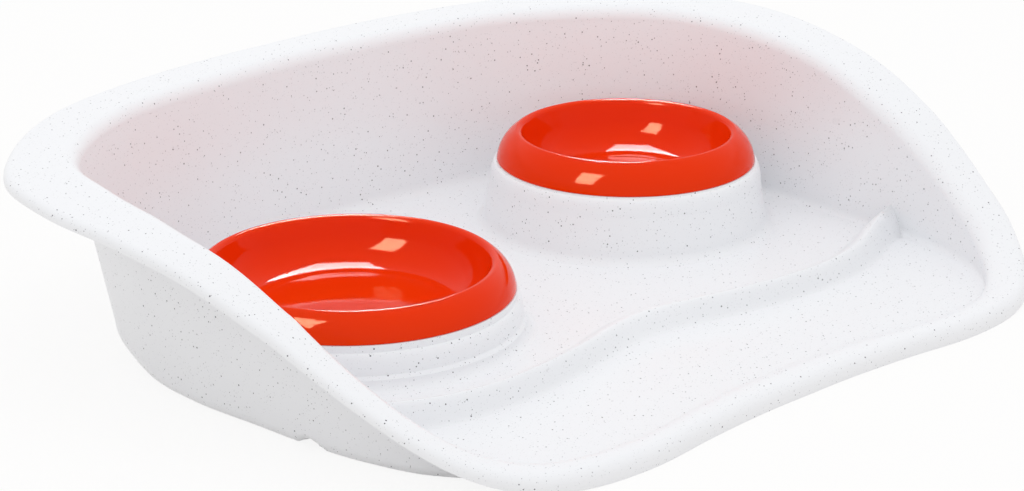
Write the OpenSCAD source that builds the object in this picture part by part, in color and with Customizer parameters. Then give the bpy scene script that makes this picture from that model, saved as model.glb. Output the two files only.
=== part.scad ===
// Feeding station for pets: a speckled moulded tray with a high wall round the back,
// a drip ridge and a low front apron, and two loose glossy bowls on raised seats.
// X runs along the row of bowls, Y runs from the front apron to the back wall.
// The origin is on the table, under the middle of the tray's outline.

/* [Tray] */
// Width of the tray over its rim
tray_w = 434; // [395:1:475]
// Depth of the tray from the back rim to the front lobes
tray_d = 335; // [310:1:360]
// Height of the rim along the back
rim_h = 82; // [72:0.5:95]
// Thickness of the moulded plastic
wall = 2.2; // [1.8:0.1:2.8]
// Height of the front edge above the table
front_h = 8; // [7:0.5:10]
// Width of the flange along the back
flange_w = 17; // [14:0.5:20]
// Width of the flange at the back corners
corner_flange_w = 28; // [24:0.5:32]
// Width of the flange where it sweeps down to the front
side_flange_w = 12.5; // [11:0.5:16]
// Width of the front edge's crown
front_flange_w = 9; // [8:0.5:12]
// Straight drop of the lip below the rolled edge
lip_drop = 1; // [0.8:0.1:2.5]

/* [Walls and ridge] */
// Radius where the flange turns down into the wall
top_fillet = 7.5; // [6:0.5:9]
// Radius where the wall meets the floor along the sides
floor_fillet = 4; // [3:0.5:6]
// Radius where the wall meets the floor at the back corners
corner_fillet = 10; // [7:0.5:12]
// Radius of the rolled edge of the flange
edge_roll = 3.5; // [3:0.25:4.5]
// Inward lean of the wall along the sides, in degrees
wall_lean = 4; // [3:0.5:5]
// Inward lean of the wall at the back corners, in degrees
corner_lean = 12; // [9:0.5:13]
// Height of the ridge above the floor
ridge_h = 9.5; // [6:0.5:12]
// Run of the ridge's gentle back slope
ridge_back = 18; // [14:0.5:22]
// Run of the ridge's steep front face
ridge_front = 8; // [7:0.5:11]
// Height of the ridge's hollow where it runs out under the wall
channel_h = 4; // [3:0.5:6]
// Run of the apron's rise towards the front edge
apron_run = 20; // [14:0.5:26]

/* [Seats] */
// Sideways place of the large bowl, as a share of the tray's width
large_side_share = -0.19; // [-0.2:0.001:-0.18]
// Place of the large bowl from front to back
large_y = 19.5; // [14:0.5:25]
// Height of the large bowl's seat
large_seat_h = 20.6; // [20:0.1:24]
// Sideways place of the small bowl, as a share of the tray's width
small_side_share = 0.241; // [0.226:0.001:0.248]
// Place of the small bowl from front to back
small_y = 37.5; // [32:0.5:42]
// Height of the small bowl's seat
small_seat_h = 32; // [29:0.1:36]
// Height of the collar that the large bowl's skirt rests on
large_collar_h = 2.9; // [2.5:0.1:3.2]
// Height of the collar that the small bowl's skirt rests on
small_collar_h = 0.8; // [0.6:0.1:1.2]
// Collar left showing outside a bowl's skirt
seat_margin = 0.3; // [0.2:0.1:1]
// Run of the seat's rounded shoulder outwards
shoulder_run = 2.6; // [2.4:0.1:3.2]
// Drop of the seat's rounded shoulder
shoulder_drop = 9; // [7:0.5:9.5]
// Rounding between the seat and the tray floor
seat_fillet = 5; // [3:0.1:5]
// Outward lean of the seat's side, in degrees
seat_lean = 5; // [3:0.5:7]
// Clearance between a bowl's basin and the seat's well
well_gap = 1.6; // [1:0.1:2]

/* [Bowls] */
// Outer diameter of the large bowl's skirt
large_d = 138.5; // [134:0.5:144]
// Depth of the large bowl below its rim
large_depth = 20; // [17:0.5:22]
// Height of the large bowl's rim above its seat
large_rim_h = 12; // [11:0.1:13]
// Outer diameter of the small bowl's skirt
small_d = 119; // [114:0.5:122]
// Depth of the small bowl below its rim
small_depth = 22; // [19:0.5:24]
// Height of the small bowl's rim above its seat
small_rim_h = 13.6; // [12.5:0.1:14.5]
// Radius of the rim's crest
crest_round = 1.5; // [1.2:0.1:2]
// Lean of the skirt at its lower edge, in degrees from upright
skirt_lean = 5; // [3:1:10]
// Lean of the skirt just below the crest, in degrees from upright
crest_lean = 60; // [54:1:62]
// Thickness of the bowls' plastic
bowl_wall = 2.2; // [1.8:0.1:2.5]
// Rounding between a bowl's wall and its floor
bowl_fillet = 18; // [12:1:20]
// Inward lean of a bowl's inner wall, in degrees
bowl_lean = 22; // [18:1:26]

/* [Hidden] */

// Facets of a full turn, a half turn and a right angle in degrees
$fn = 96;
half_turn = 180;
right_angle = 90;
// Points in a quarter of a rounded corner of a revolved outline
arc_steps = 8;
// Distance that a cut runs past the solid, or a joined piece runs into it
overrun = 1;

// Compass directions from the tray's middle, in degrees: 0 is the back, 180 the front.
// The sections are finer where the ridge runs into the wall.
back_step = 4;
ridge_step = 1.5;
ridge_from = 102;
ridge_to = 132;

// Distance of the rim from the middle, as a share of the outline's unit, by direction
rim_shares = [[0, 0.742], [15, 0.764], [30, 0.822], [45, 0.912], [60, 0.99], [70, 1.032],
    [80, 1.027], [90, 1.002], [100, 0.992], [110, 1.004], [120, 1.031], [127, 1.054],
    [135, 1.053], [142, 1.02], [150, 0.951], [160, 0.858], [170, 0.807], [180, 0.793]];
// Height of the rim between the front edge and the back, by direction
rise_shares = [[0, 1], [60, 1], [75, 0.995], [82, 0.975], [90, 0.935], [100, 0.835], [110, 0.645],
    [115, 0.512], [120, 0.37], [125, 0.235], [130, 0.11], [135, 0.03], [140, 0], [180, 0]];
// Distance of the ridge's crest from the middle, by direction
crest_shares = [[0, 1.5], [98, 1.3], [106, 1.07], [110, 0.93], [112, 0.882], [114, 0.848], [117, 0.808],
    [121, 0.768], [126, 0.717], [131, 0.664], [135, 0.62], [141, 0.556], [151, 0.47],
    [165, 0.393], [180, 0.364]];
// Height of the ridge, by direction
ridge_shares = [[0, 1.4], [105, 1.4], [111, 1.35], [117, 1.25], [125, 1.1], [150, 1], [180, 0.95]];
// Run of the ridge's front face, by direction
face_shares = [[0, 1.8], [106, 1.8], [113, 1.4], [121, 1], [180, 1]];
// Share of the apron's run that lies in each direction
apron_shares = [[0, 0], [124, 0], [134, 0.15], [142, 0.4], [152, 0.8], [164, 1], [180, 1]];
// How much of a back corner's lean and foot the wall has, by direction
lean_shares = [[0, 0.2], [30, 0.5], [48, 1], [66, 1], [88, 0], [180, 0]];
// How far the flange has narrowed from the corner to the side, by direction
narrow_shares = [[0, 0], [72, 0], [82, 0.1], [93, 0.42], [104, 0.6], [116, 0.9], [124, 1], [180, 1]];
// How far the flange has widened from the back to the corner, by direction
widen_shares = [[0, 0], [22, 0.25], [48, 0.42], [62, 0.52], [76, 1], [180, 1]];
// How far the flange has turned into the front edge's crown, by direction
crown_shares = [[0, 0], [118, 0], [127, 0.15], [135, 0.5], [146, 1], [180, 1]];

// Shares of the outline's unit that the tray reaches to a side, to the back and to the front
side_share = 1.012;
back_share = 0.742;
front_share = 0.824;
width_unit = tray_w / 2 / side_share;
depth_unit = tray_d / (back_share + front_share);
middle_y = tray_d / 2 - back_share * depth_unit;
large_x = large_side_share * tray_w;
small_x = small_side_share * tray_w;

// Height at which a wall reaches its full roundings
full_rise = top_fillet + corner_fillet;
// Sharpness of the blend where the ridge runs into the wall
blend_power = 3;
// Spacing of the floor's rings where the ridge is absent
ring_gap = wall;
// Steps in each side of the ridge, in each fillet and in the rolled edge
ridge_rings = 4;
fillet_rings = 4;
roll_rings = 3;
// Smallest cosine used where the lower surface turns a corner
corner_limit = 0.6;
// Rise of the ridge's hollow for each step away from the wall
channel_slope = 0.6;

// Smooth curve through a table of [direction, value] rows
function slope_at(t, i) =
    i == 0 || i == len(t) - 1 ? 0
    : (t[i + 1][1] - t[i - 1][1]) / (t[i + 1][0] - t[i - 1][0]);
function row_of(t, a, i = 0) = i >= len(t) - 2 || a < t[i + 1][0] ? i : row_of(t, a, i + 1);
function curve_at(t, a) =
    let (
        i = row_of(t, a),
        w = t[i + 1][0] - t[i][0],
        u = (a - t[i][0]) / w
    )
    t[i][1] * (1 + 2 * u) * (1 - u) * (1 - u)
    + t[i + 1][1] * u * u * (3 - 2 * u)
    + slope_at(t, i) * w * u * (1 - u) * (1 - u)
    - slope_at(t, i + 1) * w * u * u * (1 - u);

// Points of a quarter of an ellipse about c, from direction a0 to a1
function quarter(c, rx, ry, a0, a1, steps) =
    [for (i = [0 : steps]) let (a = a0 + (a1 - a0) * i / steps) [c[0] + rx * cos(a), c[1] + ry * sin(a)]];

// Directions of the tray's radial sections, right half and then left half
half_angles = concat(
    [for (a = [0 : back_step : ridge_from - ridge_step]) a],
    [for (a = [ridge_from : ridge_step : ridge_to]) a],
    [for (a = [ridge_to + back_step : back_step : half_turn]) a]);
angles = concat(half_angles,
    [for (i = [len(half_angles) - 2 : -1 : 1]) 2 * half_turn - half_angles[i]]);

function mirrored(a) = a > half_turn ? 2 * half_turn - a : a;
function ray(a) = [width_unit * sin(a), depth_unit * cos(a)];
function unit_ray(a) = ray(a) / norm(ray(a));

function flange_at(a) =
    let (
        corner = flange_w + (corner_flange_w - flange_w) * curve_at(widen_shares, a),
        side = corner + (side_flange_w - corner) * curve_at(narrow_shares, a)
    )
    side + (front_flange_w - side) * curve_at(crown_shares, a);

// Height of the bare tray at distance r, without the ridge
function wall_height(r, foot, low, top, inner, z_low, z_top, z_rim) =
    r <= foot ? 0
    : r < low ? z_low * (1 - sqrt(max(0, 1 - pow((r - foot) / (low - foot), 2))))
    : r < top ? z_low + (z_top - z_low) * (r - low) / (top - low)
    : r < inner ? z_top + (z_rim - z_top) * sqrt(max(0, 1 - pow((inner - r) / (inner - top), 2)))
    : z_rim;

// Height of the ridge at distance s from its crest
function ridge_height(s, h, face) =
    let (u = s < 0 ? -s / ridge_back : s / face)
    u >= 1 ? 0 : h * (1 + cos(half_turn * u)) / 2;

function blended(p, q) = pow(pow(max(p, 0), blend_power) + pow(max(q, 0), blend_power), 1 / blend_power);

// Upper surface of the tray in direction a, as [distance, height] from the middle outwards.
// The hollow one has a lower ridge near the wall and shapes the lower surface.
function section(a, hollow = false) =
    let (
        reach = norm(ray(a)),
        rim = curve_at(rim_shares, a) * reach,
        rise = front_h - wall + (rim_h - front_h) * max(0, curve_at(rise_shares, a)),
        full = min(1, rise / full_rise),
        inner = rim - flange_at(a),
        top = inner - top_fillet,
        z_top = rise - full * top_fillet,
        corner = curve_at(lean_shares, a),
        lean = wall_lean + (corner_lean - wall_lean) * corner,
        fillet = floor_fillet + (corner_fillet - floor_fillet) * corner,
        z_low = full * fillet,
        low = top - (z_top - z_low) * tan(lean),
        foot = low - fillet - apron_run * curve_at(apron_shares, a),
        crest = curve_at(crest_shares, a) * reach,
        high = ridge_h * curve_at(ridge_shares, a),
        peak = hollow ? min(high, channel_h + channel_slope * max(0, foot - crest)) : high,
        face = ridge_front * curve_at(face_shares, a),
        crown = min(1, curve_at(crown_shares, a)),
        roll = edge_roll + (min(front_h, front_flange_w) - wall - edge_roll) * crown,
        lip = edge_roll + lip_drop + (front_h - edge_roll - lip_drop) * crown,
        ridge_r = concat(
            [for (i = [0 : ridge_rings]) crest - ridge_back * (1 - i / ridge_rings)],
            [for (i = [1 : ridge_rings]) crest + face * i / ridge_rings]),
        count = len(ridge_r),
        floor_r = [for (i = [0 : count - 1]) min(ridge_r[i], foot - ring_gap * (count - i))],
        fillet_r = [for (i = [0 : fillet_rings]) foot + (low - foot) * sin(right_angle * i / fillet_rings)],
        bend_r = [for (i = [0 : fillet_rings]) inner - top_fillet * cos(right_angle * i / fillet_rings)],
        all_r = concat(floor_r, fillet_r, bend_r)
    )
    concat(
        [for (r = all_r)
            [r, wall + blended(wall_height(r, foot, low, top, inner, z_low, z_top, rise),
                ridge_height(r - crest, peak, face))]],
        quarter([rim - roll, wall + rise - roll], roll, roll, right_angle, 0, roll_rings),
        [[rim, wall + rise - lip]]);

function unit(v) = v / norm(v);
function turned(v) = [v[1], -v[0]];

// Lower surface: an outline moved through by the wall's thickness, from the rim inwards
function under(p) =
    let (n = len(p))
    concat(
        [[p[n - 1][0] - wall, p[n - 1][1]]],
        [for (i = [n - 2 : -1 : 0])
            let (
                before = i == 0 ? unit(p[1] - p[0]) : unit(p[i] - p[i - 1]),
                after = unit(p[i + 1] - p[i]),
                side = unit(turned(before) + turned(after)),
                moved = p[i] + side * wall / max(corner_limit, side * turned(before))
            )
            [moved[0], max(0, moved[1])]]);

function placed(p, a) = [p[0] * unit_ray(a)[0], middle_y + p[0] * unit_ray(a)[1], p[1]];

sections = [for (a = angles) let (m = mirrored(a))
    [for (q = concat(section(m), under(section(m, true)))) placed(q, a)]];

module tray_shell() {
    count = len(sections);
    size = len(sections[0]);
    top_middle = count * size;
    low_middle = top_middle + 1;
    points = concat([for (s = sections) each s], [[0, middle_y, wall], [0, middle_y, 0]]);
    faces = concat(
        [for (i = [0 : count - 1]) let (j = (i + 1) % count) for (k = [0 : size - 2])
            each [[i * size + k, i * size + k + 1, j * size + k],
                [j * size + k, i * size + k + 1, j * size + k + 1]]],
        [for (i = [0 : count - 1]) let (j = (i + 1) % count)
            each [[top_middle, i * size, j * size],
                [low_middle, j * size + size - 1, i * size + size - 1]]]);
    polyhedron(points, faces);
}

// Radius of the arc that a bowl's skirt follows, and how far in from the skirt's edge its middle is
function skirt_arc(h) =
    (h - crest_round + crest_round * sin(crest_lean)) / (sin(crest_lean) - sin(skirt_lean));
function arc_in(h) = skirt_arc(h) * cos(skirt_lean);

// Radius of the crest's middle, and of the basin's inner wall at height z above the seat
function crest_r(d, h) = d / 2 - arc_in(h) + (skirt_arc(h) - crest_round) * cos(crest_lean);
function basin_r(d, h, z) =
    crest_r(d, h) - crest_round * cos(bowl_lean)
    - (h - crest_round + crest_round * sin(bowl_lean) - z) * tan(bowl_lean);

// Radii of a seat's well, of its collar, of its shoulder, of its side's foot and of its rounded foot
function well_r(d, h) = basin_r(d, h, 0) + bowl_wall / cos(bowl_lean) + well_gap;
function collar_r(d) = d / 2 + seat_margin;
function shoulder_r(d) = collar_r(d) + shoulder_run;
function seat_side_r(d, shelf) = shoulder_r(d) + (shelf - wall) * tan(seat_lean);
function seat_base_r(d, shelf) = seat_side_r(d, shelf) + seat_fillet;

// Half outline of a hollow raised ring that rises from the floor round a closed well
module seat_outline(d, h, collar_h, rim_height) {
    well = well_r(d, rim_height);
    collar = collar_r(d);
    shelf = h - collar_h;
    base = seat_base_r(d, shelf);
    side = [collar, shelf - shoulder_drop];
    foot = [base, seat_fillet + wall];
    foot_r = seat_fillet + wall;
    polygon(concat(
        [[0, 0], [well, 0], [well + wall, h - wall]],
        [[collar - wall, h - wall], [collar - wall, shelf - wall]],
        quarter(side, shoulder_run - wall, shoulder_drop - wall, right_angle, 0, arc_steps),
        quarter(foot, foot_r, foot_r, half_turn, half_turn + right_angle, arc_steps),
        [[base + overrun, 0], [base + overrun, wall]],
        quarter(foot, seat_fillet, seat_fillet, half_turn + right_angle, half_turn, arc_steps),
        quarter(side, shoulder_run, shoulder_drop, 0, right_angle, arc_steps),
        [[collar, h], [well, h], [well - wall, wall], [0, wall]]));
}

module seat(x, y, d, h, collar_h, rim_height) {
    translate([x, y, 0]) rotate_extrude() seat_outline(d, h, collar_h, rim_height);
}

module seat_hole(x, y, d, shelf) {
    translate([x, y, -overrun]) cylinder(h = wall + 2 * overrun, r = seat_side_r(d, shelf));
}

module tray() {
    color([0.93, 0.93, 0.94]) {
        difference() {
            tray_shell();
            seat_hole(large_x, large_y, large_d, large_seat_h - large_collar_h);
            seat_hole(small_x, small_y, small_d, small_seat_h - small_collar_h);
        }
        seat(large_x, large_y, large_d, large_seat_h, large_collar_h, large_rim_h);
        seat(small_x, small_y, small_d, small_seat_h, small_collar_h, small_rim_h);
    }
}

// Half outline of a bowl: an arched skirt, a narrow crest and a rounded basin
module bowl_outline(d, depth, h) {
    arc_r = skirt_arc(h);
    arc = [d / 2 - arc_in(h), -arc_r * sin(skirt_lean)];
    crest = [crest_r(d, h), h - crest_round];
    floor_z = h - depth;
    turn_z = floor_z + bowl_fillet * (1 - sin(bowl_lean));
    basin = [basin_r(d, h, turn_z) - bowl_fillet * cos(bowl_lean), floor_z + bowl_fillet];
    inner_r = arc_r - bowl_wall;
    under_r = bowl_fillet + bowl_wall;
    start = asin(-arc[1] / inner_r);
    slack = (arc_r - crest_round) * cos(crest_lean + bowl_lean) + bowl_wall - crest_round;
    end = acos(slack / inner_r) - bowl_lean;
    polygon(concat(
        [[0, floor_z]],
        quarter(basin, bowl_fillet, bowl_fillet, -right_angle, -bowl_lean, arc_steps),
        quarter(crest, crest_round, crest_round, half_turn - bowl_lean, crest_lean, arc_steps),
        quarter(arc, arc_r, arc_r, crest_lean, skirt_lean, arc_steps),
        quarter(arc, inner_r, inner_r, start, end, arc_steps),
        quarter(basin, under_r, under_r, -bowl_lean, -right_angle, arc_steps),
        [[0, floor_z - bowl_wall]]));
}

module bowl(x, y, seat_h, d, depth, rim_height) {
    color([0.86, 0.16, 0.05])
        translate([x, y, seat_h]) rotate_extrude() bowl_outline(d, depth, rim_height);
}

module large_bowl() {
    bowl(large_x, large_y, large_seat_h, large_d, large_depth, large_rim_h);
}

module small_bowl() {
    bowl(small_x, small_y, small_seat_h, small_d, small_depth, small_rim_h);
}

tray();
large_bowl();
small_bowl();
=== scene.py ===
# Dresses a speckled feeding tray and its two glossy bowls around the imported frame.
# Sizes are in metres, in the frame's own axes: X along the bowls, Y to the back wall, Z up.

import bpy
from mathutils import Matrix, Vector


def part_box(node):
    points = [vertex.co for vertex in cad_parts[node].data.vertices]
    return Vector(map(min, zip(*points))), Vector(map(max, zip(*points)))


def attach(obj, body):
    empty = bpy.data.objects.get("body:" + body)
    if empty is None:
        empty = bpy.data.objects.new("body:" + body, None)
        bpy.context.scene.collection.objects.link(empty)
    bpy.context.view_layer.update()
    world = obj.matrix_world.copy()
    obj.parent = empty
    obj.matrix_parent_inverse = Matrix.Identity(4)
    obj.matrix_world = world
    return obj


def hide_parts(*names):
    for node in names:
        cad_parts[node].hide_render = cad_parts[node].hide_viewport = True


bl_info = {
    "name": "Double Pet Bowl",
    "version": (1, 0, 0),
    "blender": (4, 5, 0),
    "location": "View3D > Sidebar > Pet Bowl",
    "description": "Builds a speckled feeding tray and its two glossy bowls",
    "category": "Object",
}

import math

import bpy
from bpy.props import FloatProperty, FloatVectorProperty, IntProperty, PointerProperty
from mathutils import Vector

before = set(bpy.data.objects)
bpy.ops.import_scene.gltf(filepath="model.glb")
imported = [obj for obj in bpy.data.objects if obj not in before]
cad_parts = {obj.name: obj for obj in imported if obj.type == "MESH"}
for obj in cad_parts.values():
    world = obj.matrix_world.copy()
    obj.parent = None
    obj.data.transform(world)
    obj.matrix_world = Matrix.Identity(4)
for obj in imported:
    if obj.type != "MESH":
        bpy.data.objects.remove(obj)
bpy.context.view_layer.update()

MM = 0.001
TRAY_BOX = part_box("tray")
LARGE_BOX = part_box("large_bowl")
SMALL_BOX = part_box("small_bowl")

# Tables as in the part's source: direction in degrees (0 is the back, 180 the front) and share

# Distance of the rim from the middle, as a share of the outline's unit
RIM_SHARES = [
    (0, 0.742), (15, 0.764), (30, 0.822), (45, 0.912), (60, 0.99), (70, 1.032), (80, 1.027),
    (90, 1.002), (100, 0.992), (110, 1.004), (120, 1.031), (127, 1.054), (135, 1.053),
    (142, 1.02), (150, 0.951), (160, 0.858), (170, 0.807), (180, 0.793)]
# Height of the rim between the front edge and the back
RISE_SHARES = [
    (0, 1), (60, 1), (75, 0.995), (82, 0.975), (90, 0.935), (100, 0.835), (110, 0.645),
    (115, 0.512), (120, 0.37), (125, 0.235), (130, 0.11), (135, 0.03), (140, 0), (180, 0)]
# Distance of the ridge's crest from the middle
CREST_SHARES = [
    (0, 1.5), (98, 1.3), (106, 1.07), (110, 0.93), (112, 0.882), (114, 0.848), (117, 0.808),
    (121, 0.768), (126, 0.717), (131, 0.664), (135, 0.62), (141, 0.556), (151, 0.47),
    (165, 0.393), (180, 0.364)]
# Height of the ridge
RIDGE_SHARES = [(0, 1.4), (105, 1.4), (111, 1.35), (117, 1.25), (125, 1.1), (150, 1), (180, 0.95)]
# Run of the ridge's front face
FACE_SHARES = [(0, 1.8), (106, 1.8), (113, 1.4), (121, 1), (180, 1)]
# Share of the apron's run that lies in each direction
APRON_SHARES = [(0, 0), (124, 0), (134, 0.15), (142, 0.4), (152, 0.8), (164, 1), (180, 1)]
# How much of a back corner's lean and foot the wall has
LEAN_SHARES = [(0, 0.2), (30, 0.5), (48, 1), (66, 1), (88, 0), (180, 0)]
# How far the flange has narrowed from the corner to the side
NARROW_SHARES = [(0, 0), (72, 0), (82, 0.1), (93, 0.42), (104, 0.6), (116, 0.9), (124, 1), (180, 1)]
# How far the flange has widened from the back to the corner
WIDEN_SHARES = [(0, 0), (22, 0.25), (48, 0.42), (62, 0.52), (76, 1), (180, 1)]
# How far the flange has turned into the front edge's crown
CROWN_SHARES = [(0, 0), (118, 0), (127, 0.15), (135, 0.5), (146, 1), (180, 1)]
# Shares of the outline's unit that the tray reaches to a side, to the back and to the front
SIDE_SHARE = 1.012
BACK_SHARE = 0.742
FRONT_SHARE = 0.824

# Steps between the tray's sections in degrees, and the directions between which they are fine
COARSE_STEP = 1.5
FINE_STEP = 0.75
FINE_START = 102
FINE_END = 124.5
# Room for the ridge's points before the wall's foot, in wall thicknesses
FOOT_ROOM = 4
# Sharpness of the blend where the ridge runs into the wall
BLEND_POWER = 3
# Smallest cosine used where the lower surface turns a corner
CORNER_LIMIT = 0.6
# Distance that a seat's solid runs into the floor round it
OVERRUN = 1 * MM
# How far a seat's foot dips below the floor's surface, so that the two cross cleanly
FOOT_DIP = 0.04 * MM
# Largest distance over which points are merged: in the shell, and in turned or joined solids
SHELL_WELD = 0.02 * MM
SEAM_WELD = 0.01 * MM
# Angle in degrees up to which faces are shaded smooth
SMOOTH_ANGLE = 35

# Share of the cells that hold a speck
SPECK_AMOUNT = 0.6
# Specks from large to fine: cells per metre, radius as a share of a cell, and darkness
SPECKS = ((400, 0.18, 1), (600, 0.22, 0.5), (1000, 0.3, 0.2))
# Radius of the smallest speck as a share of the largest
SMALLEST_SPECK = 0.4
# Part of a speck's radius that has its full colour
SPECK_CORE = 0.55
# Height of the slow waviness in the plastic's grain, as a multiple of the fine grain's
WAVINESS = 2
# Patches of drifting colour per metre of a bowl, and how far its red and green drift
DRIFT_SCALE = 18
RED_DRIFT = 0.03
GREEN_DRIFT = 0.15

# Point that the lamps face
LAMP_TARGET = (0, 0.03, 0.03)
# Side of the studio's square floor
FLOOR_SIZE = 12
# Width of the camera's sensor in millimetres
SENSOR_WIDTH = 36


class TraySizes(bpy.types.PropertyGroup):
    """Sizes of the moulded tray."""

    width: FloatProperty(
        name="Width", description="Width of the tray over its rim",
        default=TRAY_BOX[1].x - TRAY_BOX[0].x, unit="LENGTH")
    depth: FloatProperty(
        name="Depth", description="Depth of the tray from the back rim to the front lobes",
        default=335 * MM, unit="LENGTH")
    rim_height: FloatProperty(
        name="Rim height", description="Height of the rim along the back",
        default=TRAY_BOX[1].z, unit="LENGTH")
    wall: FloatProperty(
        name="Wall", description="Thickness of the moulded plastic",
        default=2.2 * MM, unit="LENGTH")
    front_height: FloatProperty(
        name="Front height", description="Height of the front edge above the table",
        default=8 * MM, unit="LENGTH")
    flange: FloatProperty(
        name="Back flange", description="Width of the flange along the back",
        default=17 * MM, unit="LENGTH")
    corner_flange: FloatProperty(
        name="Corner flange", description="Width of the flange at the back corners",
        default=28 * MM, unit="LENGTH")
    side_flange: FloatProperty(
        name="Side flange", description="Width of the flange where it sweeps down to the front",
        default=12.5 * MM, unit="LENGTH")
    front_flange: FloatProperty(
        name="Front crown", description="Width of the front edge's crown",
        default=9 * MM, unit="LENGTH")
    lip_drop: FloatProperty(
        name="Lip drop", description="Straight drop of the lip below the rolled edge",
        default=1 * MM, unit="LENGTH")
    top_fillet: FloatProperty(
        name="Top rounding", description="Radius where the flange turns down into the wall",
        default=7.5 * MM, unit="LENGTH")
    floor_fillet: FloatProperty(
        name="Floor rounding", description="Radius where the wall meets the floor along the sides",
        default=4 * MM, unit="LENGTH")
    corner_fillet: FloatProperty(
        name="Corner rounding", description="Radius where the wall meets the floor at the corners",
        default=10 * MM, unit="LENGTH")
    edge_roll: FloatProperty(
        name="Edge roll", description="Radius of the rolled edge of the flange",
        default=3.5 * MM, unit="LENGTH")
    wall_lean: FloatProperty(
        name="Side lean", description="Inward lean of the wall along the sides",
        default=math.radians(4), subtype="ANGLE")
    corner_lean: FloatProperty(
        name="Corner lean", description="Inward lean of the wall at the back corners",
        default=math.radians(12), subtype="ANGLE")
    ridge_height: FloatProperty(
        name="Ridge height", description="Height of the ridge above the floor",
        default=9.5 * MM, unit="LENGTH")
    ridge_back: FloatProperty(
        name="Ridge back", description="Run of the ridge's gentle back slope",
        default=18 * MM, unit="LENGTH")
    ridge_front: FloatProperty(
        name="Ridge front", description="Run of the ridge's steep front face",
        default=8 * MM, unit="LENGTH")
    channel_height: FloatProperty(
        name="Channel height", description="Height of the ridge's hollow where it meets the wall",
        default=4 * MM, unit="LENGTH")
    channel_slope: FloatProperty(
        name="Channel slope", description="Rise of the ridge's hollow for each step from the wall",
        default=0.6, min=0)
    apron_run: FloatProperty(
        name="Apron run", description="Run of the apron's rise towards the front edge",
        default=20 * MM, unit="LENGTH")


class SeatSizes(bpy.types.PropertyGroup):
    """Sizes of the raised seats in the tray."""

    large_height: FloatProperty(
        name="Large seat", description="Height of the large bowl's seat",
        default=20.6 * MM, unit="LENGTH")
    small_height: FloatProperty(
        name="Small seat", description="Height of the small bowl's seat",
        default=32 * MM, unit="LENGTH")
    large_collar: FloatProperty(
        name="Large collar", description="Height of the collar under the large bowl's skirt",
        default=2.9 * MM, unit="LENGTH")
    small_collar: FloatProperty(
        name="Small collar", description="Height of the collar under the small bowl's skirt",
        default=0.8 * MM, unit="LENGTH")
    margin: FloatProperty(
        name="Collar", description="Collar left showing outside a bowl's skirt",
        default=0.3 * MM, unit="LENGTH")
    shoulder_run: FloatProperty(
        name="Shoulder run", description="Run of the seat's rounded shoulder outwards",
        default=2.6 * MM, unit="LENGTH")
    shoulder_drop: FloatProperty(
        name="Shoulder drop", description="Drop of the seat's rounded shoulder",
        default=9 * MM, unit="LENGTH")
    fillet: FloatProperty(
        name="Foot", description="Rounding between the seat and the tray's floor",
        default=5 * MM, unit="LENGTH")
    lean: FloatProperty(
        name="Lean", description="Outward lean of the seat's side",
        default=math.radians(5), subtype="ANGLE")
    gap: FloatProperty(
        name="Well gap", description="Clearance between a bowl's basin and the seat's well",
        default=1.6 * MM, unit="LENGTH")


class BowlSizes(bpy.types.PropertyGroup):
    """Sizes of the two loose bowls."""

    large_depth: FloatProperty(
        name="Large depth", description="Depth of the large bowl below its rim",
        default=20 * MM, unit="LENGTH")
    small_depth: FloatProperty(
        name="Small depth", description="Depth of the small bowl below its rim",
        default=22 * MM, unit="LENGTH")
    crest: FloatProperty(
        name="Crest", description="Radius of the rim's narrow crest",
        default=1.8 * MM, unit="LENGTH")
    rim_round: FloatProperty(
        name="Inner rim", description="Rounding from the crest down into the basin",
        default=2.5 * MM, unit="LENGTH")
    skirt_lean: FloatProperty(
        name="Skirt lean", description="Lean of the skirt at its lower edge, from upright",
        default=math.radians(5), subtype="ANGLE")
    crest_lean: FloatProperty(
        name="Crest lean", description="Lean of the skirt just below the crest, from upright",
        default=math.radians(60), subtype="ANGLE")
    edge: FloatProperty(
        name="Edge", description="Rounding of the skirt's lower edge",
        default=0.6 * MM, unit="LENGTH")
    wall: FloatProperty(
        name="Wall", description="Thickness of the bowls' plastic",
        default=2.2 * MM, unit="LENGTH")
    fillet: FloatProperty(
        name="Basin rounding", description="Rounding between a bowl's wall and its floor",
        default=18 * MM, unit="LENGTH")
    lean: FloatProperty(
        name="Basin lean", description="Inward lean of a bowl's inner wall",
        default=math.radians(17), subtype="ANGLE")


class Finishes(bpy.types.PropertyGroup):
    """Colours and gloss of the tray and the bowls."""

    tray_colour: FloatVectorProperty(
        name="Tray", description="Colour of the tray's plastic between its specks",
        default=(0.87, 0.88, 0.905), subtype="COLOR", size=3, min=0, max=1)
    speck_colour: FloatVectorProperty(
        name="Specks", description="Colour of the specks in the tray's plastic",
        default=(0.09, 0.085, 0.1), subtype="COLOR", size=3, min=0, max=1)
    bowl_colour: FloatVectorProperty(
        name="Bowls", description="Colour of the bowls' plastic",
        default=(0.82, 0.034, 0.001), subtype="COLOR", size=3, min=0, max=1)
    tray_roughness: FloatProperty(
        name="Tray roughness", description="Roughness of the tray's semi-gloss surface",
        default=0.3, min=0, max=1, subtype="FACTOR")
    bowl_roughness: FloatProperty(
        name="Bowl roughness", description="Roughness of the bowls' glossy surface",
        default=0.06, min=0, max=1, subtype="FACTOR")
    bowl_gloss: FloatProperty(
        name="Bowl gloss", description="Strength of the bowls' reflections",
        default=0.08, min=0, max=1, subtype="FACTOR")
    tray_gloss: FloatProperty(
        name="Tray gloss", description="Strength of the tray's reflections",
        default=0.3, min=0, max=1, subtype="FACTOR")


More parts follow.
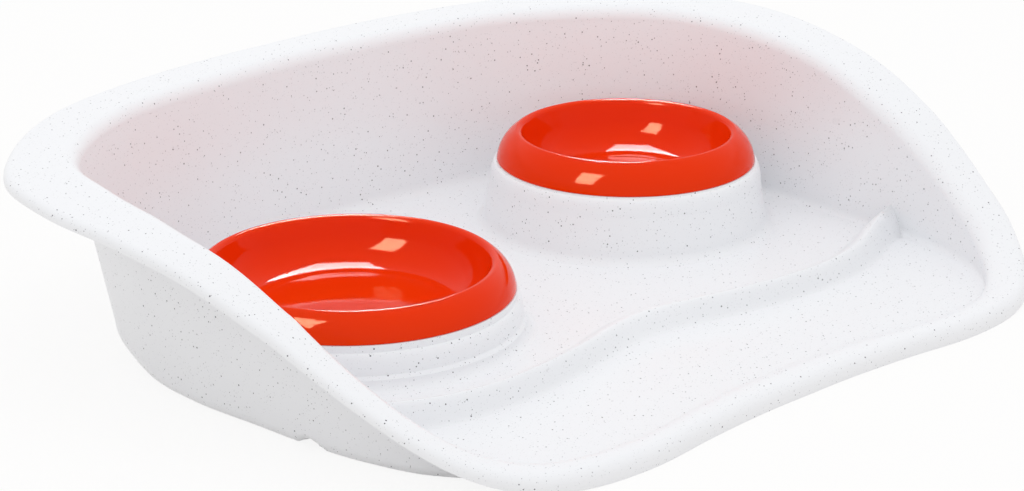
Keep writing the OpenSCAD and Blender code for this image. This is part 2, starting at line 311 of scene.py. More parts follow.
class Detail(bpy.types.PropertyGroup):
    """Fineness of the modelled surfaces."""

    turn_steps: IntProperty(
        name="Turn steps", description="Steps round a full turn of a bowl or a seat",
        default=144, min=48)
    arc_steps: IntProperty(
        name="Arc steps", description="Steps in a quarter of a rounding",
        default=10, min=4)
    ridge_steps: IntProperty(
        name="Ridge steps", description="Steps in each slope of the tray's ridge",
        default=8, min=4)


def deselect_all():
    """Leaves nothing selected, so that an operator acts on the next piece alone."""
    bpy.ops.object.select_all(action="DESELECT")


def make_active(piece):
    """Selects one piece and makes it the active one."""
    deselect_all()
    piece.select_set(True)
    bpy.context.view_layer.objects.active = piece


def curve_at(rows, a):
    """Smooth curve through rows of direction and share."""
    last = len(rows) - 1
    i = 0
    while i < last - 1 and a >= rows[i + 1][0]:
        i += 1

    def slope(k):
        if k in (0, last):
            return 0
        return (rows[k + 1][1] - rows[k - 1][1]) / (rows[k + 1][0] - rows[k - 1][0])

    span = rows[i + 1][0] - rows[i][0]
    u = (a - rows[i][0]) / span
    return (
        rows[i][1] * (1 + 2 * u) * (1 - u) ** 2
        + rows[i + 1][1] * u * u * (3 - 2 * u)
        + slope(i) * span * u * (1 - u) ** 2
        - slope(i + 1) * span * u * u * (1 - u))


def mix(low, high, share):
    """Value that lies share of the way from low to high."""
    return low + (high - low) * share


def quarter(centre, rx, rz, start, end, steps):
    """Points of an arc of an ellipse, from angle start to angle end in degrees."""
    points = []
    for i in range(steps + 1):
        a = math.radians(mix(start, end, i / steps))
        points.append((centre[0] + rx * math.cos(a), centre[1] + rz * math.sin(a)))
    return points


def flange_width(size, a):
    """Width of the tray's flange in direction a."""
    corner = mix(size.flange, size.corner_flange, curve_at(WIDEN_SHARES, a))
    side = mix(corner, size.side_flange, curve_at(NARROW_SHARES, a))
    return mix(side, size.front_flange, curve_at(CROWN_SHARES, a))


def ridge_at(size, s, height, face):
    """Height of the ridge at distance s from its crest."""
    u = -s / size.ridge_back if s < 0 else s / face
    return 0 if u >= 1 else height * (1 + math.cos(math.pi * u)) / 2


def blended(p, q):
    """Smooth maximum of two heights."""
    return (max(p, 0) ** BLEND_POWER + max(q, 0) ** BLEND_POWER) ** (1 / BLEND_POWER)


def wall_marks(size, a, rim):
    """Distance and height of the wall's foot, low turn, high turn and flange in direction a."""
    climb = max(0, curve_at(RISE_SHARES, a))
    rise = size.front_height - size.wall + (size.rim_height - size.front_height) * climb
    full = min(1, rise / (size.top_fillet + size.corner_fillet))
    inner = rim - flange_width(size, a)
    top = inner - size.top_fillet
    corner = curve_at(LEAN_SHARES, a)
    lean = mix(size.wall_lean, size.corner_lean, corner)
    fillet = mix(size.floor_fillet, size.corner_fillet, corner)
    z_top = rise - full * size.top_fillet
    z_low = full * fillet
    low = top - (z_top - z_low) * math.tan(lean)
    foot = low - fillet - size.apron_run * curve_at(APRON_SHARES, a)
    return (foot, 0), (low, z_low), (top, z_top), (inner, rise)


def height_at(marks, r):
    """Height above the floor at distance r from the middle, without the ridge."""
    (foot, floor), (low, z_low), (top, z_top), (inner, rise) = marks
    if r <= foot:
        return floor
    if r < low:
        return z_low * (1 - math.sqrt(max(0, 1 - ((r - foot) / (low - foot)) ** 2)))
    if r < top:
        return mix(z_low, z_top, (r - low) / (top - low))
    if r < inner:
        return z_top + (rise - z_top) * math.sqrt(max(0, 1 - ((inner - r) / (inner - top)) ** 2))
    return rise


def sample_distances(size, detail, marks, crest, face):
    """Distances at which a section has points: over the ridge and round both fillets."""
    foot, low, inner = marks[0][0], marks[1][0], marks[3][0]
    steps = detail.ridge_steps
    ridge = [crest - size.ridge_back * (1 - i / steps) for i in range(steps + 1)]
    ridge += [crest + face * i / steps for i in range(1, steps + 1)]
    gap = size.wall * FOOT_ROOM / steps
    floor = [min(r, foot - gap * (len(ridge) - i)) for i, r in enumerate(ridge)]
    arcs = range(detail.arc_steps + 1)
    foot_arc = [foot + (low - foot) * math.sin(math.pi / 2 * i / detail.arc_steps) for i in arcs]
    top_arc = [inner - size.top_fillet * math.cos(math.pi / 2 * i / detail.arc_steps) for i in arcs]
    return floor + foot_arc + top_arc


def rolled_edge(size, detail, a, rim, edge):
    """Points of the flange's rolled edge and of the lip below it, from a flange at height edge."""
    crown = min(1, curve_at(CROWN_SHARES, a))
    roll = mix(size.edge_roll, min(size.front_height, size.front_flange) - size.wall, crown)
    lip = mix(size.edge_roll + size.lip_drop, size.front_height, crown)
    arc = quarter((rim - roll, edge - roll), roll, roll, 90, 0, detail.arc_steps // 2)
    return arc + [(rim, edge - lip)]


def tray_outline(size, detail, a, reach, hollow=False):
    """Upper surface of the tray in direction a, as distance and height from the middle out.

    The hollow one has a lower ridge near the wall and shapes the lower surface.
    """
    rim = curve_at(RIM_SHARES, a) * reach
    marks = wall_marks(size, a, rim)
    foot, rise = marks[0][0], marks[3][1]
    crest = curve_at(CREST_SHARES, a) * reach
    peak = size.ridge_height * curve_at(RIDGE_SHARES, a)
    if hollow:
        peak = min(peak, size.channel_height + size.channel_slope * max(0, foot - crest))
    face = size.ridge_front * curve_at(FACE_SHARES, a)
    points = [
        (r, size.wall + blended(height_at(marks, r), ridge_at(size, r - crest, peak, face)))
        for r in sample_distances(size, detail, marks, crest, face)]
    return points + rolled_edge(size, detail, a, rim, size.wall + rise)


def under_outline(outline, wall):
    """Lower surface: the same outline moved through by the wall's thickness."""
    last = len(outline) - 1
    points = [(outline[last][0] - wall, outline[last][1])]
    for i in range(last - 1, -1, -1):
        here = Vector(outline[i])
        after = (Vector(outline[i + 1]) - here).normalized()
        before = after if i == 0 else (here - Vector(outline[i - 1])).normalized()
        turned_before = Vector((before.y, -before.x))
        turned_after = Vector((after.y, -after.x))
        side = (turned_before + turned_after).normalized()
        moved = here + side * wall / max(CORNER_LIMIT, side.dot(turned_before))
        points.append((moved.x, max(0, moved.y)))
    return points


def section_directions():
    """Directions of the tray's sections: fine where the ridge meets the wall."""
    half = [0.0]
    while half[-1] < 180:
        fine = FINE_START <= half[-1] < FINE_END
        half.append(half[-1] + (FINE_STEP if fine else COARSE_STEP))
    return half + [360 - a for a in reversed(half[1:-1])]


def make_shell(size, detail):
    """Moulded shell of the tray: a grid bent round into radial sections."""
    directions = section_directions()
    width_unit = size.width / 2 / SIDE_SHARE
    depth_unit = size.depth / (BACK_SHARE + FRONT_SHARE)
    middle_y = size.depth / 2 - BACK_SHARE * depth_unit
    sections = []
    for a in directions + directions[:1]:
        turn = math.radians(a)
        ray = Vector((width_unit * math.sin(turn), depth_unit * math.cos(turn)))
        upper = tray_outline(size, detail, min(a, 360 - a), ray.length)
        hollow = tray_outline(size, detail, min(a, 360 - a), ray.length, True)
        closed = [(0, size.wall)] + upper + under_outline(hollow, size.wall) + [(0, 0)]
        way = ray.normalized()
        sections.append([(r * way.x, middle_y + r * way.y, z) for r, z in closed])
    deselect_all()
    bpy.ops.mesh.primitive_grid_add(
        x_subdivisions=len(sections[0]) - 1, y_subdivisions=len(sections) - 1, size=size.width)
    shell = bpy.context.active_object
    row = len(sections[0])
    for i, vertex in enumerate(shell.data.vertices):
        vertex.co = sections[i // row][i % row]
    bpy.ops.object.mode_set(mode="EDIT")
    bpy.ops.mesh.select_all(action="SELECT")
    bpy.ops.mesh.remove_doubles(threshold=SHELL_WELD)
    bpy.ops.mesh.dissolve_degenerate(threshold=SHELL_WELD)
    bpy.ops.mesh.normals_make_consistent(inside=False)
    bpy.ops.object.mode_set(mode="OBJECT")
    return shell


def make_turned(outline, centre, base, steps):
    """Closed solid of revolution: a ring of points laid on the outline and spun round."""
    deselect_all()
    bpy.ops.mesh.primitive_circle_add(vertices=len(outline), fill_type="NOTHING")
    piece = bpy.context.active_object
    for vertex, (r, z) in zip(piece.data.vertices, outline):
        vertex.co = (centre[0] + r, centre[1], base + z)
    bpy.ops.object.mode_set(mode="EDIT")
    bpy.ops.mesh.select_all(action="SELECT")
    bpy.ops.mesh.spin(
        steps=steps, angle=2 * math.pi, center=(centre[0], centre[1], 0), axis=(0, 0, 1))
    bpy.ops.mesh.select_all(action="SELECT")
    bpy.ops.mesh.remove_doubles(threshold=SEAM_WELD)
    bpy.ops.mesh.delete_loose()
    bpy.ops.mesh.select_all(action="SELECT")
    bpy.ops.mesh.normals_make_consistent(inside=False)
    bpy.ops.object.mode_set(mode="OBJECT")
    return piece


def apply_boolean(piece, tool, operation):
    """Cuts or joins one solid with another and removes the tool."""
    make_active(piece)
    boolean = piece.modifiers.new("Boolean", "BOOLEAN")
    boolean.operation = operation
    boolean.solver = "EXACT"
    boolean.object = tool
    bpy.ops.object.modifier_apply(modifier=boolean.name)
    bpy.data.objects.remove(tool)


def weld_seams(piece):
    """Merges the doubled points and dissolves the slivers that booleans leave."""
    make_active(piece)
    bpy.ops.object.mode_set(mode="EDIT")
    bpy.ops.mesh.select_all(action="SELECT")
    bpy.ops.mesh.remove_doubles(threshold=SEAM_WELD)
    bpy.ops.mesh.select_all(action="SELECT")
    bpy.ops.mesh.dissolve_degenerate(threshold=SEAM_WELD)
    bpy.ops.mesh.delete_loose()
    bpy.ops.object.mode_set(mode="OBJECT")


def smooth(piece):
    """Smooth shading between faces that meet gently, with flat ones kept flat by weighted normals."""
    make_active(piece)
    bpy.ops.object.shade_smooth_by_angle(angle=math.radians(SMOOTH_ANGLE))
    weighted = piece.modifiers.new("Weighted", "WEIGHTED_NORMAL")
    weighted.keep_sharp = True
    bpy.ops.object.modifier_apply(modifier=weighted.name)


def skirt_arc(bowls, rim):
    """Radius of the arc that a bowl's skirt follows."""
    rise = rim - bowls.crest + bowls.crest * math.sin(bowls.crest_lean)
    return rise / (math.sin(bowls.crest_lean) - math.sin(bowls.skirt_lean))


def skirt_centre(bowls, diameter, rim):
    """Distance and height of the middle of the skirt's arc."""
    arc = skirt_arc(bowls, rim)
    return diameter / 2 - arc * math.cos(bowls.skirt_lean), -arc * math.sin(bowls.skirt_lean)


def crest_radius(bowls, diameter, rim):
    """Radius of the middle of a bowl's crest."""
    reach = (skirt_arc(bowls, rim) - bowls.crest) * math.cos(bowls.crest_lean)
    return skirt_centre(bowls, diameter, rim)[0] + reach


def basin_radius(bowls, diameter, rim, z):
    """Radius of a basin's inner wall at height z above its seat."""
    turn = rim - bowls.rim_round + bowls.rim_round * math.sin(bowls.lean)
    top = crest_radius(bowls, diameter, rim) - bowls.rim_round * math.cos(bowls.lean)
    return top - (turn - z) * math.tan(bowls.lean)


def bowl_places(seats):
    """Centre, diameter, seat height, rim height and collar height of the large and the small bowl."""
    places = []
    for low, high, seat, collar in (
            (*LARGE_BOX, seats.large_height, seats.large_collar),
            (*SMALL_BOX, seats.small_height, seats.small_collar)):
        centre = ((low.x + high.x) / 2, (low.y + high.y) / 2)
        places.append((centre, high.x - low.x, seat, high.z - seat, collar))
    return places


def seat_outline(tray, seats, bowls, detail, diameter, height, rim, collar_height):
    """Half outline of a hollow raised ring that rises from the floor round a closed well."""
    wall = tray.wall
    steps = detail.arc_steps
    basin = basin_radius(bowls, diameter, rim, 0)
    well = basin + bowls.wall / math.cos(bowls.lean) + seats.gap
    collar = diameter / 2 + seats.margin
    shelf = height - collar_height
    shoulder = collar + seats.shoulder_run
    side_foot = shoulder + (shelf - wall) * math.tan(seats.lean)
    base = side_foot + seats.fillet
    side = (collar, shelf - seats.shoulder_drop)
    foot = (base, seats.fillet + wall - FOOT_DIP)
    outer_fillet = seats.fillet + wall
    points = [(0, 0), (well, 0), (well + wall, height - wall), (collar - wall, height - wall)]
    points.append((collar - wall, shelf - wall))
    points += quarter(side, seats.shoulder_run - wall, seats.shoulder_drop - wall, 90, 0, steps)
    points += quarter((base, outer_fillet), outer_fillet, outer_fillet, 180, 270, steps)
    # The ring's rim ends inside the floor's thickness, so that the two solids overlap
    points += [(base + OVERRUN, wall / 4), (base + OVERRUN, wall / 2)]
    points += quarter(foot, seats.fillet, seats.fillet, 270, 180, steps)
    points += quarter(side, seats.shoulder_run, seats.shoulder_drop, 0, 90, steps)
    points += [(collar, height), (well, height), (well - wall, wall), (0, wall)]
    return points, side_foot


def bowl_outline(bowls, detail, diameter, depth, rim):
    """Half outline of a bowl: an arched skirt, a narrow crest and a rounded basin."""
    arc = skirt_arc(bowls, rim)
    arc_x, arc_z = skirt_centre(bowls, diameter, rim)
    crest = (crest_radius(bowls, diameter, rim), rim - bowls.crest)
    inner_rim = (crest[0], rim - bowls.rim_round)
    floor_z = rim - depth
    turn_z = floor_z + bowls.fillet * (1 - math.sin(bowls.lean))
    basin_x = basin_radius(bowls, diameter, rim, turn_z) - bowls.fillet * math.cos(bowls.lean)
    basin = (basin_x, floor_z + bowls.fillet)
    inner = arc - bowls.wall
    under = bowls.fillet + bowls.wall
    lean, crest_lean = math.degrees(bowls.lean), math.degrees(bowls.crest_lean)
    edge_turn = math.degrees(math.asin((bowls.edge - arc_z) / (arc - bowls.edge)))
    edge_x = arc_x + (arc - bowls.edge) * math.cos(math.radians(edge_turn))
    inner_start = math.degrees(math.asin(-arc_z / inner))
    across = (basin_x - arc_x) * math.cos(bowls.lean) - (basin[1] - arc_z) * math.sin(bowls.lean)
    inner_end = math.degrees(math.acos((across + under) / inner)) - lean
    steps = detail.arc_steps * 2
    points = [(0, floor_z)]
    points += quarter(basin, bowls.fillet, bowls.fillet, -90, -lean, steps)
    points += quarter(inner_rim, bowls.rim_round, bowls.rim_round, 180 - lean, 90, steps)
    points += quarter(crest, bowls.crest, bowls.crest, 90, crest_lean, steps // 2)[1:]
    points += quarter((arc_x, arc_z), arc, arc, crest_lean, edge_turn, steps)[1:]
    points += quarter((edge_x, bowls.edge), bowls.edge, bowls.edge, edge_turn, -90, steps // 2)[1:]
    points += quarter((arc_x, arc_z), inner, inner, inner_start, inner_end, steps)
    points += quarter(basin, under, under, -lean, -90, steps)
    points.append((0, floor_z - bowls.wall))
    return points


def add_node(tree, kind, place, **settings):
    """Adds a shader node at a place in the tree and sets its plain settings."""
    node = tree.nodes.new(kind)
    node.location = place
    for key, value in settings.items():
        setattr(node, key, value)
    return node


def add_math(tree, operation, place, first, second):
    """Math node whose inputs are sockets or plain numbers."""
    node = add_node(tree, "ShaderNodeMath", place, operation=operation)
    for socket, value in zip(node.inputs, (first, second)):
        if isinstance(value, bpy.types.NodeSocket):
            tree.links.new(value, socket)
        else:
            socket.default_value = value
    return node.outputs[0]


def new_group(name, inputs, outputs):
    """Shader node group with named number inputs and outputs."""
    group = bpy.data.node_groups.new(name, "ShaderNodeTree")
    for label, default in inputs:
        socket = group.interface.new_socket(label, in_out="INPUT", socket_type="NodeSocketFloat")
        socket.default_value = default
    for label in outputs:
        group.interface.new_socket(label, in_out="OUTPUT", socket_type="NodeSocketFloat")
    return group


def make_speck_group():
    """Mask of small round specks scattered through the plastic."""
    group = new_group(
        "scattered_specks",
        [("Cells per metre", 300), ("Radius", 0.15), ("Amount", 0.5)], ["Mask"])
    entry = add_node(group, "NodeGroupInput", (-900, 0))
    leave = add_node(group, "NodeGroupOutput", (900, 0))
    place = add_node(group, "ShaderNodeTexCoord", (-900, 300))
    cells = add_node(group, "ShaderNodeTexVoronoi", (-600, 200), voronoi_dimensions="3D")
    group.links.new(place.outputs["Object"], cells.inputs["Vector"])
    group.links.new(entry.outputs["Cells per metre"], cells.inputs["Scale"])
    shares = add_node(group, "ShaderNodeSeparateColor", (-400, 0))
    group.links.new(cells.outputs["Color"], shares.inputs["Color"])
    chosen = add_math(group, "LESS_THAN", (-200, -100), shares.outputs["Red"], entry.outputs["Amount"])
    spread = add_math(
        group, "MULTIPLY_ADD", (-200, 100), shares.outputs["Green"], 1 - SMALLEST_SPECK)
    spread.node.inputs[2].default_value = SMALLEST_SPECK
    reach = add_math(group, "MULTIPLY", (0, 100), spread, entry.outputs["Radius"])
    core = add_math(group, "MULTIPLY", (200, 0), reach, SPECK_CORE)
    soft = add_node(
        group, "ShaderNodeMapRange", (400, 200), interpolation_type="SMOOTHSTEP", clamp=True)
    group.links.new(cells.outputs["Distance"], soft.inputs["Value"])
    group.links.new(reach, soft.inputs["From Min"])
    group.links.new(core, soft.inputs["From Max"])
    mask = add_math(group, "MULTIPLY", (650, 0), soft.outputs["Result"], chosen)
    group.links.new(mask, leave.inputs["Mask"])
    return group


def make_grain_group():
    """Height of a fine moulded grain over a slow waviness of the surface."""
    group = new_group("moulded_grain", [("Fine per metre", 900), ("Slow per metre", 40)], ["Height"])
    entry = add_node(group, "NodeGroupInput", (-700, 0))
    leave = add_node(group, "NodeGroupOutput", (500, 0))
    place = add_node(group, "ShaderNodeTexCoord", (-700, 300))
    fine = add_node(group, "ShaderNodeTexNoise", (-400, 200))
    slow = add_node(group, "ShaderNodeTexNoise", (-400, -100))
    for noise, label in ((fine, "Fine per metre"), (slow, "Slow per metre")):
        group.links.new(place.outputs["Object"], noise.inputs["Vector"])
        group.links.new(entry.outputs[label], noise.inputs["Scale"])
        noise.inputs["Detail"].default_value = 2
    weighted = add_math(group, "MULTIPLY", (-100, -100), slow.outputs["Fac"], WAVINESS)
    height = add_math(group, "ADD", (200, 0), fine.outputs["Fac"], weighted)
    group.links.new(height, leave.inputs["Height"])
    return group


def make_haze_group():
    """Faint patches where handling dulls the gloss."""
    group = new_group("handling_haze", [("Patches per metre", 25), ("Strength", 0.1)], ["Haze"])
    entry = add_node(group, "NodeGroupInput", (-700, 0))
    leave = add_node(group, "NodeGroupOutput", (500, 0))
    place = add_node(group, "ShaderNodeTexCoord", (-700, 300))
    patches = add_node(group, "ShaderNodeTexNoise", (-400, 100))
    group.links.new(place.outputs["Object"], patches.inputs["Vector"])
    group.links.new(entry.outputs["Patches per metre"], patches.inputs["Scale"])
    patches.inputs["Detail"].default_value = 5
    haze = add_math(group, "MULTIPLY", (100, 0), patches.outputs["Fac"], entry.outputs["Strength"])
    group.links.new(haze, leave.inputs["Haze"])
    return group


def shared_group(name, maker):
    """Node group of that name, made the first time it is asked for."""
    return bpy.data.node_groups.get(name) or maker()


def new_material(name):
    """Material with its Principled shader and output, and the shader's tree."""
    material = bpy.data.materials.new(name)
    material.use_nodes = True
    return material, material.node_tree, material.node_tree.nodes["Principled BSDF"]


def add_group(tree, group, place, **values):
    """Places a node group in a material with its own values."""
    node = add_node(tree, "ShaderNodeGroup", place, node_tree=group)
    for label, value in values.items():
        node.inputs[label.replace("_", " ")].default_value = value
    return node


def add_grain(tree, shader, strength, distance, fine, slow):
    """Moulded grain fed to the shader's normal."""
    grain = add_group(
        tree, shared_group("moulded_grain", make_grain_group), (-600, -500),
        Fine_per_metre=fine, Slow_per_metre=slow)
    bump = add_node(tree, "ShaderNodeBump", (-300, -500))
    bump.inputs["Strength"].default_value = strength
    bump.inputs["Distance"].default_value = distance
    tree.links.new(grain.outputs["Height"], bump.inputs["Height"])
    tree.links.new(bump.outputs["Normal"], shader.inputs["Normal"])


def add_haze(tree, shader, roughness, patches, strength):
    """Roughness that varies a little with handling."""
    haze = add_group(
        tree, shared_group("handling_haze", make_haze_group), (-600, -200),
        Patches_per_metre=patches, Strength=strength)
    total = add_math(tree, "ADD", (-300, -200), haze.outputs["Haze"], roughness - strength / 2)
    tree.links.new(total, shader.inputs["Roughness"])


def make_speckled_plastic(finish):
    """Cool white semi-gloss plastic with fine dark specks in three sizes."""
    material, tree, shader = new_material("speckled_plastic")
    specks = shared_group("scattered_specks", make_speck_group)
    masks = []
    for i, (cells, radius, darkness) in enumerate(SPECKS):
        layer = add_group(
            tree, specks, (-1100, 300 - 200 * i),
            Cells_per_metre=cells, Radius=radius, Amount=SPECK_AMOUNT)
        masks.append(add_math(tree, "MULTIPLY", (-850, 300 - 200 * i), layer.outputs["Mask"], darkness))
    all_specks = masks[0]
    for i, mask in enumerate(masks[1:]):
        all_specks = add_math(tree, "MAXIMUM", (200 * i - 650, 200), all_specks, mask)
    colour = add_node(tree, "ShaderNodeMix", (-200, 200), data_type="RGBA")
    tree.links.new(all_specks, colour.inputs["Factor"])
    colour.inputs["A"].default_value = (*finish.tray_colour, 1)
    colour.inputs["B"].default_value = (*finish.speck_colour, 1)
    tree.links.new(colour.outputs["Result"], shader.inputs["Base Color"])
    add_haze(tree, shader, finish.tray_roughness, patches=30, strength=0.1)
    add_grain(tree, shader, strength=0.15, distance=0.1 * MM, fine=1200, slow=30)
    shader.inputs["Specular IOR Level"].default_value = finish.tray_gloss
    return material


def make_bowl_plastic(finish):
    """High-gloss orange-red plastic with a slight drift of colour."""
    material, tree, shader = new_material("bowl_plastic")
    place = add_node(tree, "ShaderNodeTexCoord", (-1100, 200))
    drift = add_node(tree, "ShaderNodeTexNoise", (-850, 200))
    tree.links.new(place.outputs["Object"], drift.inputs["Vector"])
    drift.inputs["Scale"].default_value = DRIFT_SCALE
    colour = add_node(tree, "ShaderNodeMix", (-300, 200), data_type="RGBA")
    tree.links.new(drift.outputs["Fac"], colour.inputs["Factor"])
    red, green, blue = finish.bowl_colour
    colour.inputs["A"].default_value = (red * (1 - RED_DRIFT), green * (1 - GREEN_DRIFT), blue, 1)
    colour.inputs["B"].default_value = (red, green * (1 + GREEN_DRIFT), blue, 1)
    tree.links.new(colour.outputs["Result"], shader.inputs["Base Color"])
    add_haze(tree, shader, finish.bowl_roughness, patches=60, strength=0.04)
    add_grain(tree, shader, strength=0.03, distance=0.1 * MM, fine=300, slow=20)
    shader.inputs["Specular IOR Level"].default_value = finish.bowl_gloss
    return material


def give_material(piece, material):
    """Gives a piece one material all over."""
    piece.data.materials.clear()
    piece.data.materials.append(material)


def dress(piece, name, body, material):
    """Names a finished piece, gives it its material, attaches it to its body and hides the CAD node that
    it stands for.
    """
    piece.name = name + "_skin"
    piece.data.name = name + "_skin"
    give_material(piece, material)
    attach(piece, body)
    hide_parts(name)


class PETBOWL_OT_tray(bpy.types.Operator):
    """Build the moulded tray with its raised seats"""

    bl_idname = "petbowl.tray"
    bl_label = "Tray"

    def execute(self, context):
        scene = context.scene
        size, seats, bowls = scene.petbowl_tray, scene.petbowl_seats, scene.petbowl_bowls
        detail = scene.petbowl_detail
        tray = make_shell(size, detail)
        for centre, diameter, height, rim, collar in bowl_places(seats):
            outline, side_foot = seat_outline(size, seats, bowls, detail, diameter, height, rim, collar)
            deselect_all()
            bpy.ops.mesh.primitive_cylinder_add(
                vertices=detail.turn_steps, radius=side_foot, depth=2 * (size.wall + OVERRUN),
                location=(centre[0], centre[1], 0))
            apply_boolean(tray, context.active_object, "DIFFERENCE")
            seat = make_turned(outline, centre, 0, detail.turn_steps)
            apply_boolean(tray, seat, "UNION")
        weld_seams(tray)
        smooth(tray)
        dress(tray, "tray", "tray", make_speckled_plastic(scene.petbowl_finishes))
        return {"FINISHED"}


class PETBOWL_OT_bowls(bpy.types.Operator):
    """Build the two loose bowls"""

    bl_idname = "petbowl.bowls"
    bl_label = "Bowls"

    def execute(self, context):
        scene = context.scene
        seats, bowls, detail = scene.petbowl_seats, scene.petbowl_bowls, scene.petbowl_detail
        plastic = make_bowl_plastic(scene.petbowl_finishes)
        shapes = (("large_bowl", bowls.large_depth), ("small_bowl", bowls.small_depth))
        for (name, depth), (centre, diameter, seat, rim, _) in zip(shapes, bowl_places(seats)):
            outline = bowl_outline(bowls, detail, diameter, depth, rim)
            bowl = make_turned(outline, centre, seat, detail.turn_steps)
            smooth(bowl)
            dress(bowl, name, name, plastic)
        return {"FINISHED"}


class Studio(bpy.types.PropertyGroup):
    """Camera, lamps and floor of the studio."""

    camera_place: FloatVectorProperty(
        name="Camera", description="Place of the camera, fitted to the photograph",
        default=(-0.89694, -0.890, 0.45994), subtype="XYZ", size=3)
    camera_turn: FloatProperty(
        name="Turn", description="Direction that the camera looks in, from +Y towards +X",
        default=math.radians(45), subtype="ANGLE")
    camera_dip: FloatProperty(
        name="Dip", description="Angle that the camera looks down",
        default=math.radians(19.05), subtype="ANGLE")
    lens: FloatProperty(
        name="Lens", description="Focal length on a 36 mm sensor",
        default=109.0, subtype="DISTANCE_CAMERA")
    floor_colour: FloatVectorProperty(
        name="Floor", description="Colour of the floor",
        default=(0.88, 0.855, 0.83), subtype="COLOR", size=3, min=0, max=1)
    floor_roughness: FloatProperty(
        name="Floor roughness", description="Roughness of the floor's matt surface",
        default=0.9, min=0, max=1, subtype="FACTOR")
    floor_glow: FloatProperty(
        name="Floor glow", description="Share of plain white in the floor as it is seen",
        default=0.88, min=0, max=1, subtype="FACTOR")
    room_light: FloatProperty(
        name="Room light", description="Strength of the even light from all round",
        default=0.9, min=0)
    top_light: FloatProperty(
        name="Top light", description="Power of the large soft lamp overhead, in watts",
        default=3.4, min=0)
    window_gleam: FloatProperty(
        name="Window gleam", description="Power of the window that shows in the bowls' gloss, in watts",
        default=46.0, min=0)
    window_colour: FloatVectorProperty(
        name="Window colour", description="Warm colour of the window that shows in the bowls' gloss",
        default=(1, 0.62, 0.37), subtype="COLOR", size=3, min=0, max=1)
    softbox_gleam: FloatProperty(
        name="Softbox gleam", description="Power of the softbox that shows in the bowls' gloss, in watts",
        default=50.0, min=0)
    softbox_colour: FloatVectorProperty(
        name="Softbox colour", description="Colour of the softbox that shows in the bowls' gloss",
        default=(1, 1, 1), subtype="COLOR", size=3, min=0, max=1)


def add_area_lamp(name, power, place, width, height):
    """Rectangular soft lamp that faces the bowls."""
    deselect_all()
    bpy.ops.object.light_add(type="AREA", location=place)
    lamp = bpy.context.active_object
    lamp.name = name
    lamp.data.shape = "RECTANGLE"
    lamp.data.size = width
    lamp.data.size_y = height
    lamp.data.energy = power
    lamp.rotation_euler = (Vector(LAMP_TARGET) - Vector(place)).to_track_quat("-Z", "Y").to_euler()
    return lamp


def show_in_gloss(lamp, colour, pieces):
    """Makes a lamp show only as a gleam in the gloss of some pieces, without lighting them."""
    lamp.data.color = colour
    lamp.visible_diffuse = False
    lamp.light_linking.receiver_collection = pieces


def add_background_rays(tree):
    """Value of 1 for rays from the camera, from gloss and through clear pieces."""
    path = add_node(tree, "ShaderNodeLightPath", (-900, 200))
    seen = add_math(
        tree, "MAXIMUM", (-650, 200), path.outputs["Is Camera Ray"], path.outputs["Is Glossy Ray"])
    return add_math(tree, "MAXIMUM", (-450, 200), seen, path.outputs["Is Transmission Ray"])


def make_world(studio):
    """White background for the camera and for reflections, and softer light on the object."""
    world = bpy.data.worlds.new("studio_world")
    world.use_nodes = True
    tree = world.node_tree
    shade = tree.nodes["Background"]
    shade.inputs["Color"].default_value = (1, 1, 1, 1)
    shown = add_background_rays(tree)
    strength = add_node(tree, "ShaderNodeMix", (-200, 0), data_type="FLOAT")
    tree.links.new(shown, strength.inputs["Factor"])
    strength.inputs["A"].default_value = studio.room_light
    strength.inputs["B"].default_value = 1
    tree.links.new(strength.outputs["Result"], shade.inputs["Strength"])
    bpy.context.scene.world = world


def make_floor(studio):
    """Wide pale floor that melts into the background and keeps a faint shadow."""
    deselect_all()
    bpy.ops.mesh.primitive_plane_add(size=FLOOR_SIZE, location=(0, 0, 0))
    floor = bpy.context.active_object
    floor.name = "studio_floor"
    material, tree, shader = new_material("studio_floor")
    shader.inputs["Base Color"].default_value = (*studio.floor_colour, 1)
    shader.inputs["Roughness"].default_value = studio.floor_roughness
    glow = add_node(tree, "ShaderNodeEmission", (0, 300))
    share = add_math(
        tree, "MULTIPLY", (-200, 400), add_background_rays(tree), studio.floor_glow)
    blend = add_node(tree, "ShaderNodeMixShader", (300, 200))
    tree.links.new(share, blend.inputs["Fac"])
    tree.links.new(shader.outputs["BSDF"], blend.inputs[1])
    tree.links.new(glow.outputs["Emission"], blend.inputs[2])
    tree.links.new(blend.outputs["Shader"], tree.nodes["Material Output"].inputs["Surface"])
    give_material(floor, material)


def make_camera(studio):
    """Camera at the photograph's viewing angle."""
    deselect_all()
    bpy.ops.object.camera_add(
        location=studio.camera_place,
        rotation=(math.pi / 2 - studio.camera_dip, 0, -studio.camera_turn))
    camera = bpy.context.active_object
    camera.data.sensor_width = SENSOR_WIDTH
    camera.data.lens = studio.lens
    camera.data.clip_start = 0.01
    bpy.context.scene.camera = camera


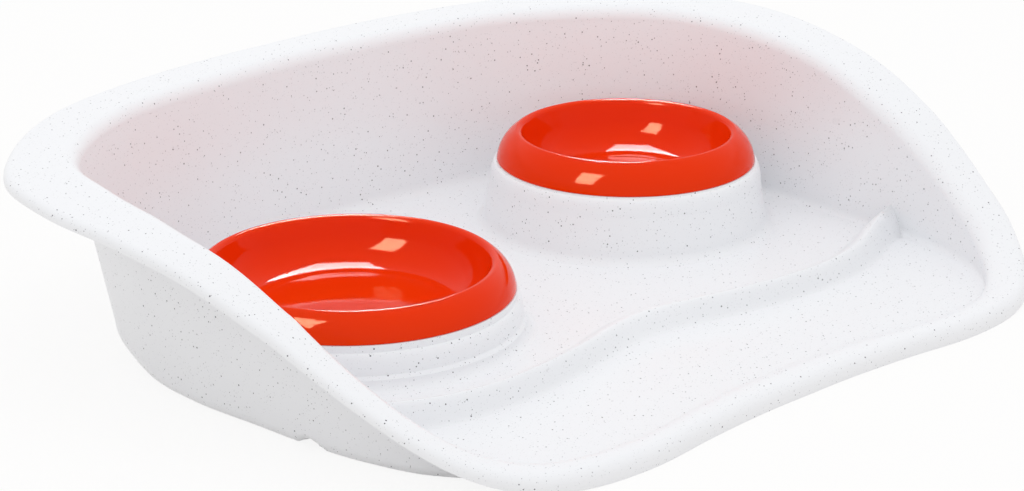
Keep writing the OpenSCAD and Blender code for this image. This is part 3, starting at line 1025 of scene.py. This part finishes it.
class PETBOWL_OT_stage(bpy.types.Operator):
    """Set up the floor, lamps, background and camera"""

    bl_idname = "petbowl.stage"
    bl_label = "Stage"

    def execute(self, context):
        studio = context.scene.petbowl_studio
        context.scene.view_settings.view_transform = "Standard"
        make_floor(studio)
        make_world(studio)
        top = add_area_lamp(
            "top_softbox", studio.top_light, place=(0, 0, 1.4), width=1.2, height=0.9)
        top.visible_glossy = False
        glossy = bpy.data.collections.new("glossy_pieces")
        for name in ("large_bowl_skin", "small_bowl_skin"):
            glossy.objects.link(bpy.data.objects[name])
        window = add_area_lamp(
            "window_gleam", studio.window_gleam,
            place=(-0.75, -0.04, 0.674), width=0.3, height=0.6)
        show_in_gloss(window, studio.window_colour, glossy)
        softbox = add_area_lamp(
            "softbox_gleam", studio.softbox_gleam,
            place=(0.43, 0.46, 1.05), width=0.4, height=0.75)
        show_in_gloss(softbox, studio.softbox_colour, glossy)
        make_camera(studio)
        return {"FINISHED"}


class PETBOWL_PT_panel(bpy.types.Panel):
    """Panel with the pieces and their sizes"""

    bl_idname = "PETBOWL_PT_panel"
    bl_label = "Pet Bowl"
    bl_space_type = "VIEW_3D"
    bl_region_type = "UI"
    bl_category = "Pet Bowl"

    def draw(self, context):
        layout = self.layout
        for operator in OPERATORS:
            layout.operator(operator.bl_idname)
        for name, kind in GROUPS:
            layout.label(text=kind.__name__)
            group = getattr(context.scene, name)
            for key in kind.__annotations__:
                layout.prop(group, key)


OPERATORS = (PETBOWL_OT_tray, PETBOWL_OT_bowls, PETBOWL_OT_stage)
GROUPS = (
    ("petbowl_tray", TraySizes),
    ("petbowl_seats", SeatSizes),
    ("petbowl_bowls", BowlSizes),
    ("petbowl_finishes", Finishes),
    ("petbowl_detail", Detail),
    ("petbowl_studio", Studio))


def register():
    """Registers the add-on's classes and its settings on the scene."""
    for name, kind in GROUPS:
        bpy.utils.register_class(kind)
        setattr(bpy.types.Scene, name, PointerProperty(type=kind))
    for operator in OPERATORS:
        bpy.utils.register_class(operator)
    bpy.utils.register_class(PETBOWL_PT_panel)


def unregister():
    """Removes the add-on's classes and its settings."""
    bpy.utils.unregister_class(PETBOWL_PT_panel)
    for operator in reversed(OPERATORS):
        bpy.utils.unregister_class(operator)
    for name, kind in reversed(GROUPS):
        delattr(bpy.types.Scene, name)
        bpy.utils.unregister_class(kind)


def main():
    """Builds every piece and the stage."""
    register()
    bpy.ops.petbowl.tray()
    bpy.ops.petbowl.bowls()
    bpy.ops.petbowl.stage()


if __name__ == "__main__":
    main()
